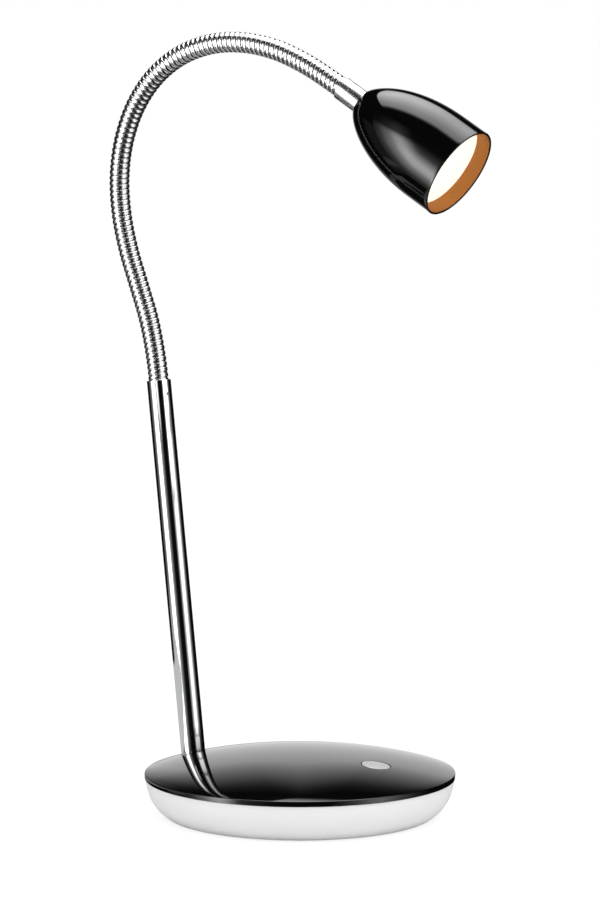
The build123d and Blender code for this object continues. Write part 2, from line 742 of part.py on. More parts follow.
with BuildPart() as mouth_ring:
    with BuildSketch(shade_plane.offset(DIFFUSER_BACK + DIFFUSER_T)):
        RegularPolygon(RING_OUTER_R, PLATE_SIDES)
        RegularPolygon(RING_R, PLATE_SIDES, mode=Mode.SUBTRACT)
    extrude(amount=DIFFUSER_DEPTH - RING_SETBACK)
mouth_ring.part.label = "mouth_ring"
export_step(mouth_ring.part, "parts/mouth_ring.step")
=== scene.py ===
import json
from math import asin, atan2, cos, pi, radians, sin, tan

import bmesh
import bpy
from bpy.props import FloatProperty, FloatVectorProperty, IntProperty, PointerProperty
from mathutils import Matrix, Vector


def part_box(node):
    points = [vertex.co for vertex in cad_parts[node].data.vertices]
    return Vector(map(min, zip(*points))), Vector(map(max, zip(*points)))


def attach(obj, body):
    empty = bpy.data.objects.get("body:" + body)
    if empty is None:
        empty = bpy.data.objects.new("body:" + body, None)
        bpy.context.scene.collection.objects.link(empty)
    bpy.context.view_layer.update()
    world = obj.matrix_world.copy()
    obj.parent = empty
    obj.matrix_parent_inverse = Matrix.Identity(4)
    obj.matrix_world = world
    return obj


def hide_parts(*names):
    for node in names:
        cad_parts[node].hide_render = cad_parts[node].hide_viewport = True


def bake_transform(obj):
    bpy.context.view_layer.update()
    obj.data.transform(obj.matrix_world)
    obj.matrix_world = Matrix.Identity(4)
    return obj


bl_info = {
    "name": "Gooseneck Desk Lamp",
    "version": (1, 0, 0),
    "blender": (4, 5, 0),
    "location": "3D View > Sidebar > Lamp",
    "description": "Makes the visible surfaces of a gooseneck desk lamp round its fixed frame",
    "category": "Add Mesh",
}

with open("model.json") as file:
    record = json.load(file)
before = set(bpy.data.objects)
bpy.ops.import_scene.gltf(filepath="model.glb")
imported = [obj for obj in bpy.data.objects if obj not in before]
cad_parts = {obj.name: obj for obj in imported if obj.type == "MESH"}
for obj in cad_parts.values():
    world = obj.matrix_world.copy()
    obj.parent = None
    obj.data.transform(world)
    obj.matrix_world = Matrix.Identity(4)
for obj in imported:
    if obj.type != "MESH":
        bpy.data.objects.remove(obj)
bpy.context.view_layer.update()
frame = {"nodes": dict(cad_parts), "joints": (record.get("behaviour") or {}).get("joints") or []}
MM = 0.001


# ---- places read from the frame -----------------------------------------------------------


def centre(node):
    """The middle of a frame node's box, in metres."""
    low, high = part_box(node)
    return (low + high) / 2


hinges = sorted((j for j in frame["joints"] if j["type"] == "hinge"), key=lambda j: j["child"])
PIVOTS = [Vector(j["pos_m"]) for j in hinges]
UP = Vector((0, 0, 1))

# base: a spherical cap on a short upright rim
COVER_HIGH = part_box("base_cover")[1]
RIM_R = COVER_HIGH.x / MM
APEX_Z = COVER_HIGH.z / MM
SEAM_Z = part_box("base_shell")[1].z / MM
RIM_H = 2.2
DOME_RISE = APEX_Z - SEAM_Z - RIM_H
DOME_RADIUS = (RIM_R**2 + DOME_RISE**2) / (2 * DOME_RISE)
DOME_CENTRE = Vector((0, 0, (APEX_Z - DOME_RADIUS) * MM))
# the moulded dome is a little flatter than that cap in the middle, and rolls over more at its rim
DOME_CROWN = DOME_RISE - 0.3
DOME_ROLL = 0.85

BUTTON_AXIS = (centre("button_cap") - DOME_CENTRE).normalized()
BUTTON_FACE = DOME_CENTRE + BUTTON_AXIS * DOME_RADIUS * MM

# stem: a leaning tube; its box gives its radius, and the first pivot lies on its axis
STEM_LOW, STEM_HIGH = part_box("stem")
STEM_R = (STEM_HIGH.y - STEM_LOW.y) / 2 / MM
STEM_AXIS = (PIVOTS[0] - centre("stem")).normalized()
STEM_LEAN = STEM_AXIS.angle(UP)
STEM_L = ((STEM_HIGH.z - STEM_LOW.z) / MM - 2 * STEM_R * sin(STEM_LEAN)) / cos(STEM_LEAN)
STEM_FOOT = centre("stem") - STEM_AXIS * STEM_L / 2 * MM
STEM_TOP = centre("stem") + STEM_AXIS * STEM_L / 2 * MM

# head: sleeve, shade and diffuser share the last link's axis
HEAD_AXIS = (centre("diffuser") - PIVOTS[-1]).normalized()
SHADE_L = 60.7
BELL_L = 48.0
BELL_FLARE = 2.2
BELL_SHOULDER = 0.75
DIFFUSER_DEPTH = 7.2
DIFFUSER_T = 2.0
SLEEVE_L = 13.1
SHADE_START = centre("diffuser") - HEAD_AXIS * (SHADE_L - DIFFUSER_DEPTH - DIFFUSER_T / 2) * MM
SLEEVE_START = SHADE_START - HEAD_AXIS * SLEEVE_L * MM


def dome_z(radius):
    return SEAM_Z + RIM_H + DOME_CROWN * (1 - (radius / RIM_R) ** 2) ** DOME_ROLL


def linear(code):
    """The linear colour of an sRGB hex code."""
    channels = [int(code[i:i + 2], 16) / 255 for i in (1, 3, 5)]
    return [c / 12.92 if c <= 0.04045 else ((c + 0.055) / 1.055) ** 2.4 for c in channels]


# ---- what a user would change -------------------------------------------------------------


def length(name, description, default):
    """A length in millimetres, kept as a plain number so that the panel shows it as drawn."""
    return FloatProperty(name=name, description=f"{description}, in millimetres", default=default, min=0)


def colour(name, description, code):
    return FloatVectorProperty(
        name=name, description=description, default=linear(code), size=3, min=0, max=1, subtype="COLOR"
    )


class LampSizes(bpy.types.PropertyGroup):
    """Sizes of the visible surfaces"""

    rim_edge: length("Rim rounding", "Rounding of the dome's upper rim", 0.5)
    wall: length("Moulded wall", "Wall of the dome and the bowl", 2.4)
    button_r: length("Button radius", "Radius of the push button's face", 6.85)
    button_gap: length("Button gap", "Gap between the button and the dome", 0.4)
    button_edge: length("Button edge", "Rounding of the button's edge", 0.2)
    stem_wall: length("Stem wall", "Wall of the stem's tube", 0.9)
    wire_pitch: length("Winding pitch", "Distance between turns of the neck", 2.65)
    neck_r: length("Neck radius", "Outer radius of the neck's winding", 5.02)
    wire_half_w: length("Wire half width", "Half the width of the neck's oval wire", 1.1)
    wire_half_h: length("Wire half height", "Half the height of the neck's oval wire", 0.4)
    wedge_outer: length("Wedge face", "Width of the wedge wire's outer face", 0.9)
    wedge_inner: length("Wedge root", "Width of the wedge wire at its root", 0.6)
    wedge_depth: length("Wedge depth", "Height of the wedge wire's section", 0.7)
    wedge_setback: length("Wedge setback", "How far the wedge wire lies below the crests", 0.42)
    wire_steps: IntProperty(name="Steps per turn", description="Points in one turn", default=36, min=12)
    sleeve_r: length("Sleeve radius", "Outer radius of the sleeve", 5.7)
    shade_end_r: length("Shade end", "Radius of the shade's flat end", 6.3)
    mouth_r: length("Mouth radius", "Outer radius of the shade's mouth", 22.5)
    lip: length("Lip", "Width of the shade's lip", 0.9)


class LampColours(bpy.types.PropertyGroup):
    """Colours of the finishes"""

    chrome: colour("Chrome", "Reflected colour of the plating", "#EBECEE")
    black_plastic: colour("Black plastic", "Body colour of the dome", "#070707")
    white_plastic: colour("White plastic", "Body colour of the bowl", "#E7E7E7")
    enamel: colour("Enamel", "Body colour of the shade", "#060606")
    copper: colour("Copper lacquer", "Colour inside the mouth", "#B8783E")
    lit: colour("Light", "Colour of the lit diffuser", "#FFFAF0")
    satin: colour("Satin metal", "Colour of the push button", "#D6D6D6")


class StageSettings(bpy.types.PropertyGroup):
    """Camera and light levels"""

    azimuth: FloatProperty(
        name="Azimuth", description="Camera's turn about Z", default=radians(29.587), subtype="ANGLE"
    )
    pitch: FloatProperty(
        name="Pitch", description="Camera's tilt below level", default=radians(4.674), subtype="ANGLE"
    )
    distance: FloatProperty(
        name="Distance", description="Camera's distance from the Z axis", default=1.4185, unit="LENGTH"
    )
    height: FloatProperty(name="Height", description="Camera's height", default=0.2922, unit="LENGTH")
    lens: FloatProperty(name="Lens", description="Focal length in millimetres", default=178.4, min=10)
    room_light: FloatProperty(
        name="Room light", description="Level of the room's even light", default=0.98, min=0
    )
    lamp_power: FloatProperty(
        name="Lamp power", description="Power of the soft overhead lamp in watts", default=13, min=0
    )


# ---- building helpers ---------------------------------------------------------------------


def add(tree, kind, inputs=None, **settings):
    """Adds a node and sets its properties; its inputs take a node's first output, a socket or a value."""
    made = tree.nodes.new(kind)
    for key, value in settings.items():
        setattr(made, key, value)
    for key, value in (inputs or {}).items():
        if isinstance(value, bpy.types.Node):
            value = value.outputs[0]
        if isinstance(value, bpy.types.NodeSocket):
            tree.links.new(value, made.inputs[key])
        else:
            made.inputs[key].default_value = value
    return made


def rounded(corners, steps=6):
    """A section's outline from (radius, distance, rounding) corners, rounded ones as arcs."""
    outline = []
    for index, (x, y, rounding) in enumerate(corners):
        here = Vector((x, y))
        if not rounding:
            outline.append((x, y))
            continue
        before = (Vector(corners[index - 1][:2]) - here).normalized()
        after = (Vector(corners[(index + 1) % len(corners)][:2]) - here).normalized()
        half = before.angle(after) / 2
        middle = here + (before + after).normalized() * rounding / sin(half)
        start = here + before * rounding / tan(half) - middle
        end = here + after * rounding / tan(half) - middle
        first = atan2(start.y, start.x)
        sweep = (atan2(end.y, end.x) - first + pi) % (2 * pi) - pi
        for step in range(steps + 1):
            angle = first + sweep * step / steps
            outline.append((middle.x + rounding * cos(angle), middle.y + rounding * sin(angle)))
    return outline


def start_tree(name, inputs):
    """An empty geometry tree with named inputs, and the sockets that they come in by."""
    tree = bpy.data.node_groups.new(name, "GeometryNodeTree")
    for label, kind in inputs.items():
        tree.interface.new_socket(label, in_out="INPUT", socket_type=f"NodeSocket{kind}")
    tree.interface.new_socket("Geometry", in_out="OUTPUT", socket_type="NodeSocketGeometry")
    return tree, add(tree, "NodeGroupInput").outputs


def end_tree(tree, geometry, material):
    """Ends a geometry tree: its instances made real, and the material set."""
    real = add(tree, "GeometryNodeRealizeInstances", {0: geometry})
    painted = add(tree, "GeometryNodeSetMaterial", {"Geometry": real, "Material": material})
    add(tree, "NodeGroupOutput", {0: painted})


def set_inputs(modifier, values):
    """Sets a node modifier's inputs, which are found by name and set by identifier."""
    for item in modifier.node_group.interface.items_tree:
        if item.item_type == "SOCKET" and item.in_out == "INPUT" and item.name in values:
            modifier[item.identifier] = values[item.name]


def empty_nodes(owner):
    """Turns on the nodes of a material or a world, and clears them."""
    owner.use_nodes = True
    owner.node_tree.nodes.clear()
    return owner.node_tree


def from_bmesh(name, bm):
    """A new object in the scene with the bmesh as its mesh."""
    mesh = bpy.data.meshes.new(name)
    bm.to_mesh(mesh)
    bm.free()
    made = bpy.data.objects.new(name, mesh)
    bpy.context.scene.collection.objects.link(made)
    return made


def new_piece(name, bm):
    """A smooth-shaded object from a bmesh, with edges kept sharp where faces turn sharply."""
    bmesh.ops.recalc_face_normals(bm, faces=bm.faces)
    piece = from_bmesh(name, bm)
    smooth(piece)
    return piece


def smooth(piece, angle=38):
    piece.data.polygons.foreach_set("use_smooth", [True] * len(piece.data.polygons))
    piece.data.set_sharp_from_angle(angle=radians(angle))


def turn(name, outline, origin=Vector(), axis=UP, segments=192):
    """A closed solid turned about an axis from (radius, distance) pairs round its section."""
    across = Vector((0, 1, 0))
    beside = across.cross(axis)
    bm = bmesh.new()
    rings = []
    for radius, distance in outline:
        middle = origin + axis * distance * MM
        if radius < 1e-6:
            rings.append([bm.verts.new(middle)] * segments)
            continue
        ring = []
        for step in range(segments):
            angle = 2 * pi * step / segments
            ring.append(bm.verts.new(middle + (beside * cos(angle) + across * sin(angle)) * radius * MM))
        rings.append(ring)
    for near, far in zip(rings, rings[1:] + rings[:1]):
        for step in range(segments):
            after = (step + 1) % segments
            corners = dict.fromkeys((near[step], near[after], far[after], far[step]))
            if len(corners) > 2:
                bm.faces.new(corners)
    return new_piece(name, bm)


def plain(piece):
    """Turns what a piece's modifiers make into its own mesh, and removes them."""
    evaluated = piece.evaluated_get(bpy.context.evaluated_depsgraph_get())
    mesh = bpy.data.meshes.new_from_object(evaluated)
    piece.modifiers.clear()
    piece.data = mesh


def cut(piece, *tools):
    """Cuts closed tool pieces out of a piece."""
    for tool in tools:
        modifier = piece.modifiers.new("cut", "BOOLEAN")
        modifier.operation = "DIFFERENCE"
        modifier.solver = "EXACT"
        modifier.object = tool
    plain(piece)
    for tool in tools:
        bpy.data.objects.remove(tool)
    smooth(piece)
    return piece


def rod(name, radius, start, end, origin, axis, segments=96):
    """A plain round or many-sided bar, mostly used to cut holes."""
    return turn(name, [(0, start), (radius, start), (radius, end), (0, end)], origin, axis, segments)


def place(piece, body, slot, material, *nodes):
    """Finishes a piece: its material, the body it rides on and the nodes it stands for. The slot is not used.
    """
    piece.data.materials.clear()
    piece.data.materials.append(surface(material))
    if body:
        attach(piece, body)
    if nodes:
        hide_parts(*nodes)


# ---- materials ----------------------------------------------------------------------------


def start_material(name, inputs):
    """A material whose shader has the given inputs: its tree, its shader and the place on the object."""
    material = bpy.data.materials.new(name)
    tree = empty_nodes(material)
    shader = add(tree, "ShaderNodeBsdfPrincipled", inputs)
    add(tree, "ShaderNodeOutputMaterial", {"Surface": shader})
    return material, tree, shader, add(tree, "ShaderNodeTexCoord").outputs["Object"]


def vary(tree, shader, place_on, grain_mm, detail, tint, dulled, roughness):
    """Lets roughness and colour drift with a noise, from a dulled tint up to the tint itself."""
    scale = 1 / (grain_mm * MM)
    drift = add(tree, "ShaderNodeTexNoise", {"Vector": place_on, "Scale": scale, "Detail": detail})
    rough = add(tree, "ShaderNodeMapRange", {0: drift, 3: roughness[0], 4: roughness[1]})
    ends = {0: drift, 6: (*[c * dulled for c in tint], 1), 7: (*tint, 1)}
    tone = add(tree, "ShaderNodeMix", ends, data_type="RGBA").outputs[2]
    tree.links.new(rough.outputs[0], shader.inputs["Roughness"])
    tree.links.new(tone, shader.inputs["Base Color"])
    return tone


def drifting(tint_name, grain_mm, detail, dulled, roughness, inputs):
    """A maker of finishes that are one colour all over, apart from a slight drift."""

    def make(name):
        material, tree, shader, place_on = start_material(name, inputs)
        tint = getattr(bpy.context.scene.lamp_colours, tint_name)
        vary(tree, shader, place_on, grain_mm, detail, tint, dulled, roughness)
        return material

    return make


def wound_chrome(name):
    """Plated wire drawn through a die, less clear than a tube; painted shade darkens it towards the grooves
    between turns.
    """
    material, tree, shader, place_on = start_material(name, {"Metallic": 1})
    tint = bpy.context.scene.lamp_colours.chrome
    tone = vary(tree, shader, place_on, 3, 2, tint, 0.93, (0.2, 0.25))
    # painted shade: the plating is darkened towards the grooves between turns and on the sunk wedge wire
    groove = add(tree, "ShaderNodeAttribute", attribute_name="groove").outputs["Fac"]
    ends = {0: groove, 6: tone, 7: (*[c * 0.3 for c in tint], 1)}
    shaded_plating = add(tree, "ShaderNodeMix", ends, data_type="RGBA")
    tree.links.new(shaded_plating.outputs[2], shader.inputs["Base Color"])
    return material


def satin_white_abs(name):
    """ABS from a finely sparked mould: white, with a soft sheen and a texture of about 0.3 mm."""
    material, tree, shader, place_on = start_material(name, {"IOR": 1.5, "Specular IOR Level": 0.25})
    tint = bpy.context.scene.lamp_colours.white_plastic
    vary(tree, shader, place_on, 40, 2, tint, 0.97, (0.5, 0.58))
    spark = add(tree, "ShaderNodeTexNoise", {"Vector": place_on, "Scale": 1 / (0.3 * MM), "Detail": 2})
    bump = add(tree, "ShaderNodeBump", {"Height": spark, "Strength": 0.08, "Distance": 0.02 * MM})
    tree.links.new(bump.outputs[0], shader.inputs["Normal"])
    return material


def stoved_black_enamel(name):
    """Sprayed enamel baked on a spun shell: deep gloss with a slow ripple of about 3 mm."""
    material, tree, shader, place_on = start_material(name, {"IOR": 1.52, "Roughness": 0.05})
    ripple = add(tree, "ShaderNodeTexNoise", {"Vector": place_on, "Scale": 1 / (3 * MM), "Detail": 1})
    drift = add(tree, "ShaderNodeTexNoise", {"Vector": place_on, "Scale": 1 / (20 * MM), "Detail": 2})
    tint = bpy.context.scene.lamp_colours.enamel
    ends = {0: drift, 6: (*[c * 0.7 for c in tint], 1), 7: (*tint, 1)}
    tone = add(tree, "ShaderNodeMix", ends, data_type="RGBA")
    bump = add(tree, "ShaderNodeBump", {"Height": ripple, "Strength": 0.05, "Distance": 0.03 * MM})
    tree.links.new(tone.outputs[2], shader.inputs["Base Color"])
    tree.links.new(bump.outputs[0], shader.inputs["Normal"])
    return material


def lit_opal_acrylic(name):
    """Opal acrylic lit from behind: it glows evenly, and its moulded face has a faint grain."""
    glow = {"Emission Color": (*bpy.context.scene.lamp_colours.lit, 1), "Emission Strength": 0.8}
    material, tree, shader, place_on = start_material(name, {"IOR": 1.49, "Roughness": 0.4, **glow})
    cloud = add(tree, "ShaderNodeTexNoise", {"Vector": place_on, "Scale": 1 / (4 * MM), "Detail": 2})
    ends = {0: cloud, 6: (*linear("#B4AB98"), 1), 7: (*linear("#BEB6A4"), 1)}
    tone = add(tree, "ShaderNodeMix", ends, data_type="RGBA")
    tree.links.new(tone.outputs[2], shader.inputs["Base Color"])
    return material


def grained(dark, light, grain_mm, rough, metallic=0.0, depth_mm=0.01):
    """A maker of plain materials with a grain: two close colours, a roughness and a fine bump."""

    def make(name):
        material, tree, shader, place_on = start_material(name, {"Metallic": metallic, "Roughness": rough})
        scale = 1 / (grain_mm * MM)
        grain = add(tree, "ShaderNodeTexNoise", {"Vector": place_on, "Scale": scale, "Detail": 4})
        ends = {0: grain, 6: (*linear(dark), 1), 7: (*linear(light), 1)}
        tone = add(tree, "ShaderNodeMix", ends, data_type="RGBA")
        bump = add(tree, "ShaderNodeBump", {"Height": grain, "Strength": 0.4, "Distance": depth_mm * MM})
        tree.links.new(tone.outputs[2], shader.inputs["Base Color"])
        tree.links.new(bump.outputs[0], shader.inputs["Normal"])
        return material

    return make


FINISHES = {
    "wound_chrome": wound_chrome,
    "satin_white_abs": satin_white_abs,
    "stoved_black_enamel": stoved_black_enamel,
    "lit_opal_acrylic": lit_opal_acrylic,
    # chromium over polished steel: a cold mirror with a faint haze left by polishing
    "bright_chrome": drifting("chrome", 9, 4, 0.94, (0.05, 0.08), {"Metallic": 1}),
    # chromium over brushed steel: the same cold metal, but its reflections run soft
    "satin_chrome": drifting("chrome", 0.5, 4, 0.92, (0.24, 0.28), {"Metallic": 1}),
    # ABS from a polished mould: near black, glass-clear gloss, with barely any waviness
    "gloss_black_abs": drifting("black_plastic", 30, 2, 0.7, (0.035, 0.06), {"IOR": 1.52}),
    # metallic lacquer with flakes in it: a warm brown metal that scatters the light beside it
    "flake_copper_lacquer": drifting("copper", 0.6, 3, 0.9, (0.42, 0.5), {
        "Metallic": 0.3, "Specular IOR Level": 0.15, "Specular Tint": (*linear("#B87838"), 1),
    }),
    # aluminium blasted with fine beads and anodised: a soft even sheen with a fine sparkle
    "satin_anodised_aluminium": drifting("satin", 0.25, 2, 0.93, (0.4, 0.55), {"Metallic": 1}),
    # moulded rubber: dull, with the mould's fine grain
    "nitrile_rubber": grained("#141414", "#1F1F1F", 0.5, 0.75),
    # zinc-plated steel: pale grey, slightly mottled by the bath
    "zinc_plated_steel": grained("#9A9C9E", "#B4B6B8", 0.8, 0.34, metallic=1.0, depth_mm=0.004),
    # sand-cast iron: dark and coarse, from the mould's sand
    "sand_cast_iron": grained("#2A2A2C", "#3D3D40", 0.7, 0.7, metallic=0.6, depth_mm=0.08),
    # brass off the lathe: warm, fairly bright
    "lathe_brass": grained("#A98845", "#C6A45C", 0.4, 0.3, metallic=1.0, depth_mm=0.003),
    # extruded aluminium, clear anodised: pale and even
    "extruded_aluminium": grained("#B2B4B6", "#C6C8CA", 0.9, 0.42, metallic=1.0, depth_mm=0.004),
    # glass-fibre laminate under green solder mask: dark green, faintly mottled
    "glass_fibre_laminate": grained("#16452A", "#1F5A38", 0.9, 0.45, depth_mm=0.01),
    # black glass-filled nylon: dark, with a dull sheen
    "glass_filled_nylon": grained("#151516", "#232325", 0.6, 0.5),
    # silicone loaded with phosphor: dull yellow when it isn't lit
    "phosphor_silicone": grained("#D8B93E", "#E6CB5E", 0.3, 0.5),
}


MADE = {}


def surface(name):
    """The named finish, made on its first use."""
    if name not in MADE:
        MADE[name] = FINISHES[name](name)
    return MADE[name]


# ---- stage --------------------------------------------------------------------------------


def glow_card(name, points, across, glow):
    """A card that only reflections see: a grid of points with a brightness at each of them."""
    bm = bmesh.new()
    layer = bm.verts.layers.float.new("glow")
    verts = []
    for point, level in zip(points, glow):
        vert = bm.verts.new(point)
        vert[layer] = level
        verts.append(vert)
    for start in range(0, len(verts) - across, across):
        for step in range(across - 1):
            a = start + step
            bm.faces.new((verts[a], verts[a + 1], verts[a + across + 1], verts[a + across]))
    card = from_bmesh(name, bm)
    material = bpy.data.materials.new(name)
    tree = empty_nodes(material)
    level = add(tree, "ShaderNodeAttribute", attribute_name="glow")
    shine = add(tree, "ShaderNodeEmission", {"Strength": level.outputs["Fac"]})
    add(tree, "ShaderNodeOutputMaterial", {"Surface": shine})
    card.data.materials.append(material)
    for way in ("camera", "diffuse", "shadow", "transmission"):
        setattr(card, f"visible_{way}", False)


def upright_card(name, columns, rows, radius):
    """A curved upright card: (degrees right of the camera, level, stretch) by (height, level)."""
    stage = bpy.context.scene.lamp_stage
    points, glow = [], []
    for height, row_level in rows:
        for turned, level, *stretch in columns:
            angle = stage.azimuth + radians(turned)
            z = height * (stretch[0] if stretch else 1)
            points.append((radius * sin(angle), -radius * cos(angle), z))
            glow.append(level * row_level)
    glow_card(name, points, len(columns), glow)


def flat_card(name, columns, rows, z):
    """A level card at a height, from (x, level) columns and (y, level) rows."""
    points = [(x, y, z) for y, row_level in rows for x, level in columns]
    glow = [level * row_level for y, row_level in rows for x, level in columns]
    glow_card(name, points, len(columns), glow)


class LAMP_OT_stage(bpy.types.Operator):
    """Make the camera, the pale floor, the lights and the cards that shape the reflections"""

    bl_idname = "lamp.stage"
    bl_label = "Stage"

    def execute(self, context):
        stage = context.scene.lamp_stage
        context.scene.view_settings.view_transform = "Standard"
        self.add_camera(context, stage)
        self.add_floor()
        self.add_world(context, stage)
        self.add_lamp(context, stage)
        self.add_cards()
        return {"FINISHED"}

    def add_camera(self, context, stage):
        data = bpy.data.cameras.new("camera")
        data.sensor_fit = "HORIZONTAL"
        data.sensor_width = 36
        data.lens = stage.lens
        camera = bpy.data.objects.new("camera", data)
        camera.location = (
            stage.distance * sin(stage.azimuth),
            -stage.distance * cos(stage.azimuth),
            stage.height,
        )
        camera.rotation_euler = (radians(90) - stage.pitch, 0, stage.azimuth)
        context.scene.collection.objects.link(camera)
        context.scene.camera = camera

    def add_floor(self):
        bm = bmesh.new()
        bmesh.ops.create_circle(bm, cap_ends=True, segments=96, radius=4)
        floor = from_bmesh("floor", bm)
        material = bpy.data.materials.new("pale_paper")
        tree = empty_nodes(material)
        paper = add(tree, "ShaderNodeBsdfDiffuse", {"Color": (*linear("#F2F2F2"), 1)})
        white_level, white_share = 1.12, 0.72
        white = add(tree, "ShaderNodeEmission", {"Strength": white_level})
        ray = add(tree, "ShaderNodeLightPath").outputs
        sharp = {0: ray["Is Camera Ray"], 1: ray["Is Glossy Ray"]}
        seen = add(tree, "ShaderNodeMath", sharp, operation="MAXIMUM")
        share = add(tree, "ShaderNodeMath", {0: seen, 1: white_share}, operation="MULTIPLY")
        mixed = add(tree, "ShaderNodeMixShader", {0: share, 1: paper, 2: white})
        add(tree, "ShaderNodeOutputMaterial", {"Surface": mixed})
        floor.data.materials.append(material)
        # the cards that shape the reflections run on below the floor
        floor.visible_glossy = False

    def add_world(self, context, stage):
        world = bpy.data.worlds.new("white_room")
        tree = empty_nodes(world)
        ray = add(tree, "ShaderNodeLightPath").outputs
        sharp = {0: ray["Is Camera Ray"], 1: ray["Is Glossy Ray"]}
        either = add(tree, "ShaderNodeMath", sharp, operation="MAXIMUM")
        any_ray = {0: either, 1: ray["Is Transmission Ray"]}
        seen = add(tree, "ShaderNodeMath", any_ray, operation="MAXIMUM")
        level = add(tree, "ShaderNodeMapRange", {0: seen, 3: stage.room_light, 4: 1.0})
        room = add(tree, "ShaderNodeBackground", {"Color": (1, 1, 1, 1), "Strength": level})
        add(tree, "ShaderNodeOutputWorld", {"Surface": room})
        context.scene.world = world

    def add_lamp(self, context, stage):
        data = bpy.data.lights.new("soft_lamp", "AREA")
        data.shape = "DISK"
        data.size = 1.4
        data.energy = stage.lamp_power
        lamp = bpy.data.objects.new("soft_lamp", data)
        lamp.location = (0.55, -0.45, 1.85)
        lamp.rotation_euler = (radians(14), radians(17), 0)
        lamp.visible_glossy = False
        context.scene.collection.objects.link(lamp)

    def add_cards(self):
        # dark felt all round, nearer than the white room
        felt_low, felt_high, felt_r = -0.9, 2.4, 2.6
        wall = [(angle, 0.004) for angle in range(0, 361, 15)]
        upright_card("felt_wall", wall, [(felt_low, 1), (felt_high, 1)], felt_r)
        ends = (-felt_r - 0.1, felt_r + 0.1)
        edge = [(x, 1) for x in ends]
        flat_card("felt_ceiling", edge, [(y, 0.005) for y in ends], felt_high)
        flat_card("felt_floor", edge, [(y, 0.01) for y in ends], felt_low)
        # softboxes either side of the camera, with a dark gap between them
        softbox_r, inner_r = 1.05, 1.04
        left = [
            (-90, 0.3), (-85, 0.5), (-81, 0.9), (-77, 1.8), (-73, 2.6), (-69, 3.7), (-64, 6.5), (-59, 7.6),
            (-55, 6.5), (-50, 3.8), (-45, 1.1), (-41, 0.5), (-35, 0.32), (-29, 0.18), (-23, 0.09),
            (-17, 0.04), (-10, 0),
        ]
        left_rows = [
            (-0.6, 0.7), (-0.17, 0.8), (0.0, 1), (0.33, 1), (0.5, 0.85), (0.65, 0.75), (0.75, 0.45),
            (0.85, 0.08), (1.4, 0),
        ]
        upright_card("softbox_left", left, left_rows, softbox_r)
        right = [
            (18, 0), (22, 0.02), (25, 0.12), (29, 0.3), (35, 0.6), (41, 1.0), (50, 2.2), (60, 2.8),
            (70, 1.6), (76, 1.0), (81, 0.7), (88, 0.33), (94, 0.15), (100, 0.07), (108, 0),
        ]
        right_rows = [(-0.6, 0.6), (-0.16, 0.85), (0.0, 0.75), (0.08, 0.85), (0.15, 1), (1.5, 1)]
        upright_card("softbox_right", right, right_rows, softbox_r)
        # higher up the softboxes reach nearer the camera's line, which the neck shows
        neck_rows = [(0.26, 0), (0.31, 1), (0.5, 1), (0.6, 0)]
        upright_card("left_inner", [(-40, 0), (-35, 1.4), (-23, 1.2), (-17, 0)], neck_rows, inner_r)
        upright_card("right_inner", [(30, 0), (36, 2.4), (78, 2.4), (86, 0)], neck_rows, inner_r)
        # pale side panel low on the left, and a strip of light on the ground beyond it
        low_rows = [(-0.3, 0.1), (-0.21, 0.15), (-0.16, 0.55), (-0.11, 0.45), (-0.05, 0.12), (0.6, 0.1)]
        upright_card("side_panel", [(-112, 0), (-106, 0.8), (-97, 1), (-90, 1)], low_rows, softbox_r)
        # pale table top under the arch
        flat_card("table_card", [(-0.36, 0.6), (-0.14, 0.6)], [(-0.36, 1), (0.35, 1)], 0.0006)
        strip = [(-158, 0.3, 0.35), (-147, 0.2, 0.5), (-131, 0.15, 0.75), (-118, 0.45, 0.95), (-108, 0.55, 1)]
        upright_card("ground_strip", strip, [(-0.45, 1), (-0.36, 1)], inner_r)
        # hard-edged panel over the head
        over = [(-0.72, 0.7), (-0.4, 0.95), (0, 1), (0.3, 0.85), (0.7, 0.6)]
        depth = [
            (-0.44, 0), (-0.37, 0.5), (-0.28, 3.2), (-0.2, 4.1), (-0.1, 4.2), (0.1, 5.3), (0.4, 5.9),
            (0.6, 5.3), (0.85, 4.0), (1.0, 3.4), (1.12, 1.8), (1.18, 0.7), (1.26, 0),
        ]
        flat_card("softbox_top", over, depth, 1.5)
        # white screen behind the lamp, fading out upwards and reaching highest in the middle
        behind = [
            (156, 0, 0.85), (160, 0.6, 0.85), (166, 1, 0.85), (174, 1, 0.81), (180, 1, 1), (184, 1, 0.86),
            (190, 1, 0.85), (195, 0.4, 0.8), (203, 0.3, 0.8), (208, 0, 0.8),
        ]
        fade = [
            (0.0, 1), (0.5, 1), (0.6, 0.98), (0.67, 0.85), (0.73, 0.74),
            (0.8, 0.63), (0.86, 0.54), (0.92, 0.46), (0.99, 0.36), (1.05, 0.3), (1.11, 0.22), (1.18, 0.15),
            (1.24, 0.1), (1.36, 0.04), (1.6, 0),
        ]
        horizon_r = 1.6
        upright_card("horizon", behind, fade, horizon_r)
        low = [(162, 0), (168, 1), (186, 1), (190, 0.25), (203, 0.25), (208, 0)]
        upright_card("horizon_foot", low, [(-0.4, 0), (-0.3, 1), (0.0, 1)], horizon_r)


# ---- pieces -------------------------------------------------------------------------------


